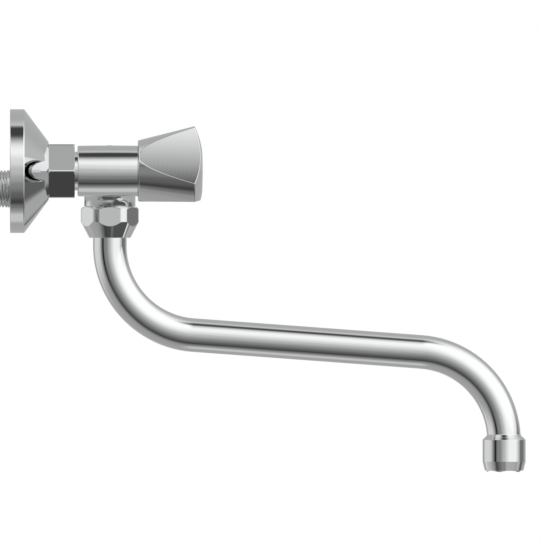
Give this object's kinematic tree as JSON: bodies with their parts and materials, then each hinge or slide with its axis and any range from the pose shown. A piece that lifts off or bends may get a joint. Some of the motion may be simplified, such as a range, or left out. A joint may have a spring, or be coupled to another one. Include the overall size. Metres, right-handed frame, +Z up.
{
  "type": "wall-mounted sink mixer",
  "caption": "Wall-mounted chromed mixer tap with faceted screw-down handles, round wall covers and a long swivelling tube spout that ends in an aerator.",
  "frame": {"origin": "on the finished wall, midway between the two G1/2 wall threads", "axes": "+Y into the wall, +Z up, -Y towards the user, -X the hot side on the left of a user who faces the wall"},
  "size_m": [0.2192, 0.3076, 0.2037],
  "materials": {
    "chrome": "polished chrome plate",
    "brass": "turned brass, unplated",
    "rubber": "moulded sealing rubber",
    "steel": "stainless steel",
    "plastic": "moulded engineering plastic",
    "red_plastic": "moulded plastic, hot side",
    "blue_plastic": "moulded plastic, cold side"
  },
  "bodies": {
    "fixed": {"mixer_body": "chrome", "s_union_hot": "chrome", "s_union_cold": "chrome", "escutcheon_hot": "chrome", "escutcheon_cold": "chrome", "union_nut_hot": "chrome", "union_nut_cold": "chrome", "inlet_washer_hot": "rubber", "inlet_washer_cold": "rubber", "inlet_strainer_hot": "steel", "inlet_strainer_cold": "steel", "inlet_tail_hot": "chrome", "inlet_tail_cold": "chrome", "tail_o_ring_hot": "rubber", "tail_o_ring_cold": "rubber", "bonnet_hot": "brass", "bonnet_cold": "brass", "bonnet_seal_hot": "rubber", "bonnet_seal_cold": "rubber", "spout_nut": "chrome", "spout_thrust_ring": "plastic", "spout_slip_ring": "plastic"},
    "handle_hot": {"handle_hot": "chrome", "handle_insert_hot": "plastic", "handle_screw_hot": "steel", "index_disc_hot": "red_plastic", "index_cap_hot": "chrome", "spindle_hot": "brass", "spindle_o_rings_hot": "rubber", "spindle_clip_hot": "steel"},
    "handle_cold": {"handle_cold": "chrome", "handle_insert_cold": "plastic", "handle_screw_cold": "steel", "index_disc_cold": "blue_plastic", "index_cap_cold": "chrome", "spindle_cold": "brass", "spindle_o_rings_cold": "rubber", "spindle_clip_cold": "steel"},
    "piston_hot": {"valve_piston_hot": "brass", "tap_washer_hot": "rubber", "washer_screw_hot": "steel"},
    "piston_cold": {"valve_piston_cold": "brass", "tap_washer_cold": "rubber", "washer_screw_cold": "steel"},
    "spout": {"spout_tube": "chrome", "spout_collar": "brass", "spout_o_rings": "rubber", "aerator_housing": "chrome", "aerator_seal": "rubber", "aerator_diffuser": "plastic", "aerator_insert": "plastic", "aerator_screen": "steel"}
  },
  "joints": [
    {"name": "handle_hot_turn", "type": "hinge", "parent": "fixed", "child": "handle_hot", "pos_m": [-0.075, -0.0872, 0.01], "axis": [0, -1, 0], "range_deg": [0, 720]},
    {"name": "piston_hot_lift", "type": "slide", "parent": "fixed", "child": "piston_hot", "axis": [0, -1, 0], "range_m": [0, 0.004]},
    {"name": "handle_cold_turn", "type": "hinge", "parent": "fixed", "child": "handle_cold", "pos_m": [0.075, -0.0872, 0.01], "axis": [0, -1, 0], "range_deg": [0, 720]},
    {"name": "piston_cold_lift", "type": "slide", "parent": "fixed", "child": "piston_cold", "axis": [0, -1, 0], "range_m": [0, 0.004]},
    {"name": "spout_swivel", "type": "hinge", "parent": "fixed", "child": "spout", "pos_m": [0, -0.05595, -0.02], "axis": [0, 0, 1], "range_deg": [-95, 95]}
  ],
  "couplings": [
    {"joint": "piston_hot_lift", "follows": "handle_hot_turn", "m_per_rad": 0.00031831},
    {"joint": "piston_cold_lift", "follows": "handle_cold_turn", "m_per_rad": 0.00031831}
  ]
}
